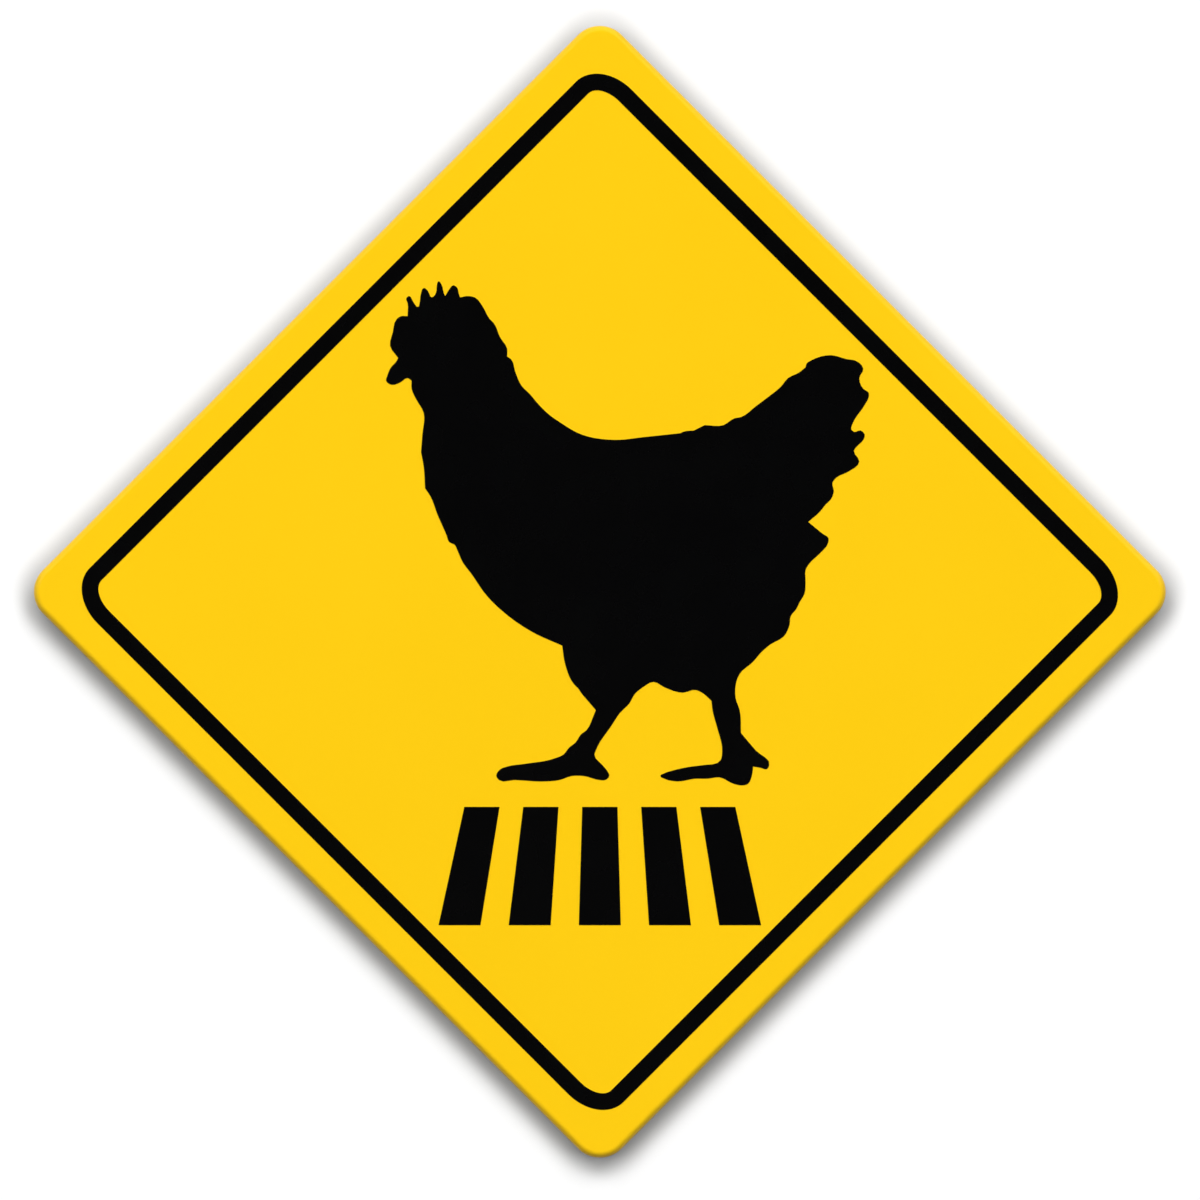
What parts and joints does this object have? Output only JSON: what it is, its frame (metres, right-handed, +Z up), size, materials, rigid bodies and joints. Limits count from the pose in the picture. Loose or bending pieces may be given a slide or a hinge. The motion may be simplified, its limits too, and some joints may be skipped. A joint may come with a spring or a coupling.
{
  "type": "chicken crossing sign",
  "caption": "Diamond-shaped yellow sheet-metal sign with its edge turned back, a black rounded border line, a black walking hen and a row of crossing bars on its face.",
  "frame": {"origin": "centre of the sheet's flat back, inside the turned edge", "axes": "+Y out of the flat back, towards what the sign is fixed to, so the face looks along -Y; +Z up towards the diamond's top corner; +X to the right of someone who reads the face"},
  "size_m": [0.4214, 0.0041, 0.4214],
  "materials": {
    "yellow_coat": "satin",
    "black_film": "satin"
  },
  "bodies": {
    "root": {"panel": "yellow_coat", "border_line": "black_film", "hen_figure": "black_film", "crossing_bars": "black_film"}
  },
  "joints": []
}
